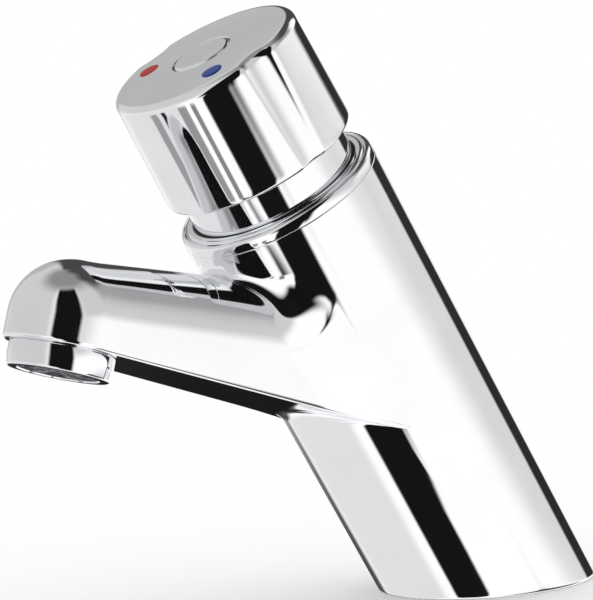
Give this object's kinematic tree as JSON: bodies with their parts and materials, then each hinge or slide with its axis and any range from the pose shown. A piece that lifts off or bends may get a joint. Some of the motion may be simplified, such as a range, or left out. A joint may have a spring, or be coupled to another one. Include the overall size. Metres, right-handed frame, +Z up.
{
  "type": "basin mixer tap",
  "caption": "Leaning self-closing basin mixer: round barrel with a tapering spout, and a head with finger scallops that turns for temperature and is pushed to start the flow.",
  "frame": {"origin": "centre of the base face, where the barrel's axis meets the basin's deck", "axes": "+Z up out of the deck; the barrel leans and the spout points towards -Y; +X is the user's right when they face +Y, the cold side"},
  "size_m": [0.048, 0.1609, 0.1383],
  "materials": {
    "chrome": "polished chrome plate on brass",
    "brass": "turned",
    "stainless": "turned or drawn",
    "rubber": "moulded",
    "acetal": "moulded",
    "ceramic": "lapped",
    "grey_plastic": "moulded",
    "red_plastic": "filled enamel",
    "blue_plastic": "filled enamel"
  },
  "bodies": {
    "tap": {"tap_body": "chrome", "bezel_ring": "chrome", "wiper_seal": "rubber", "cartridge_housing": "brass", "housing_o_rings": "rubber", "inlet_seals": "rubber", "fixed_disc": "ceramic", "temperature_stop": "acetal", "aerator_housing": "chrome", "aerator_insert": "grey_plastic", "flow_regulator": "acetal", "aerator_washer": "rubber", "base_gasket": "rubber"},
    "mixer": {"turning_sleeve": "acetal", "turning_disc": "ceramic", "sleeve_o_rings": "rubber", "sleeve_cap": "brass", "spring_plate": "stainless", "return_spring": "stainless"},
    "head": {"push_head": "chrome", "head_skirt": "chrome", "head_cap": "chrome", "hot_dot": "red_plastic", "cold_dot": "blue_plastic", "head_screw": "stainless", "spindle": "stainless", "valve_holder": "brass", "valve_washer": "rubber", "timing_piston": "acetal", "piston_seal": "rubber"}
  },
  "joints": [
    {"name": "temperature_turn", "type": "hinge", "parent": "tap", "child": "mixer", "pos_m": [0, 0, 0], "axis": [0, -0.5299, 0.848], "range_deg": [-52.4, 67.6]},
    {"name": "head_push", "type": "slide", "parent": "mixer", "child": "head", "axis": [0, 0.5299, -0.848], "range_m": [0, 0.0045], "stiffness_N_per_m": 2000, "springref_m": -0.006, "deforming": ["return_spring"]}
  ]
}
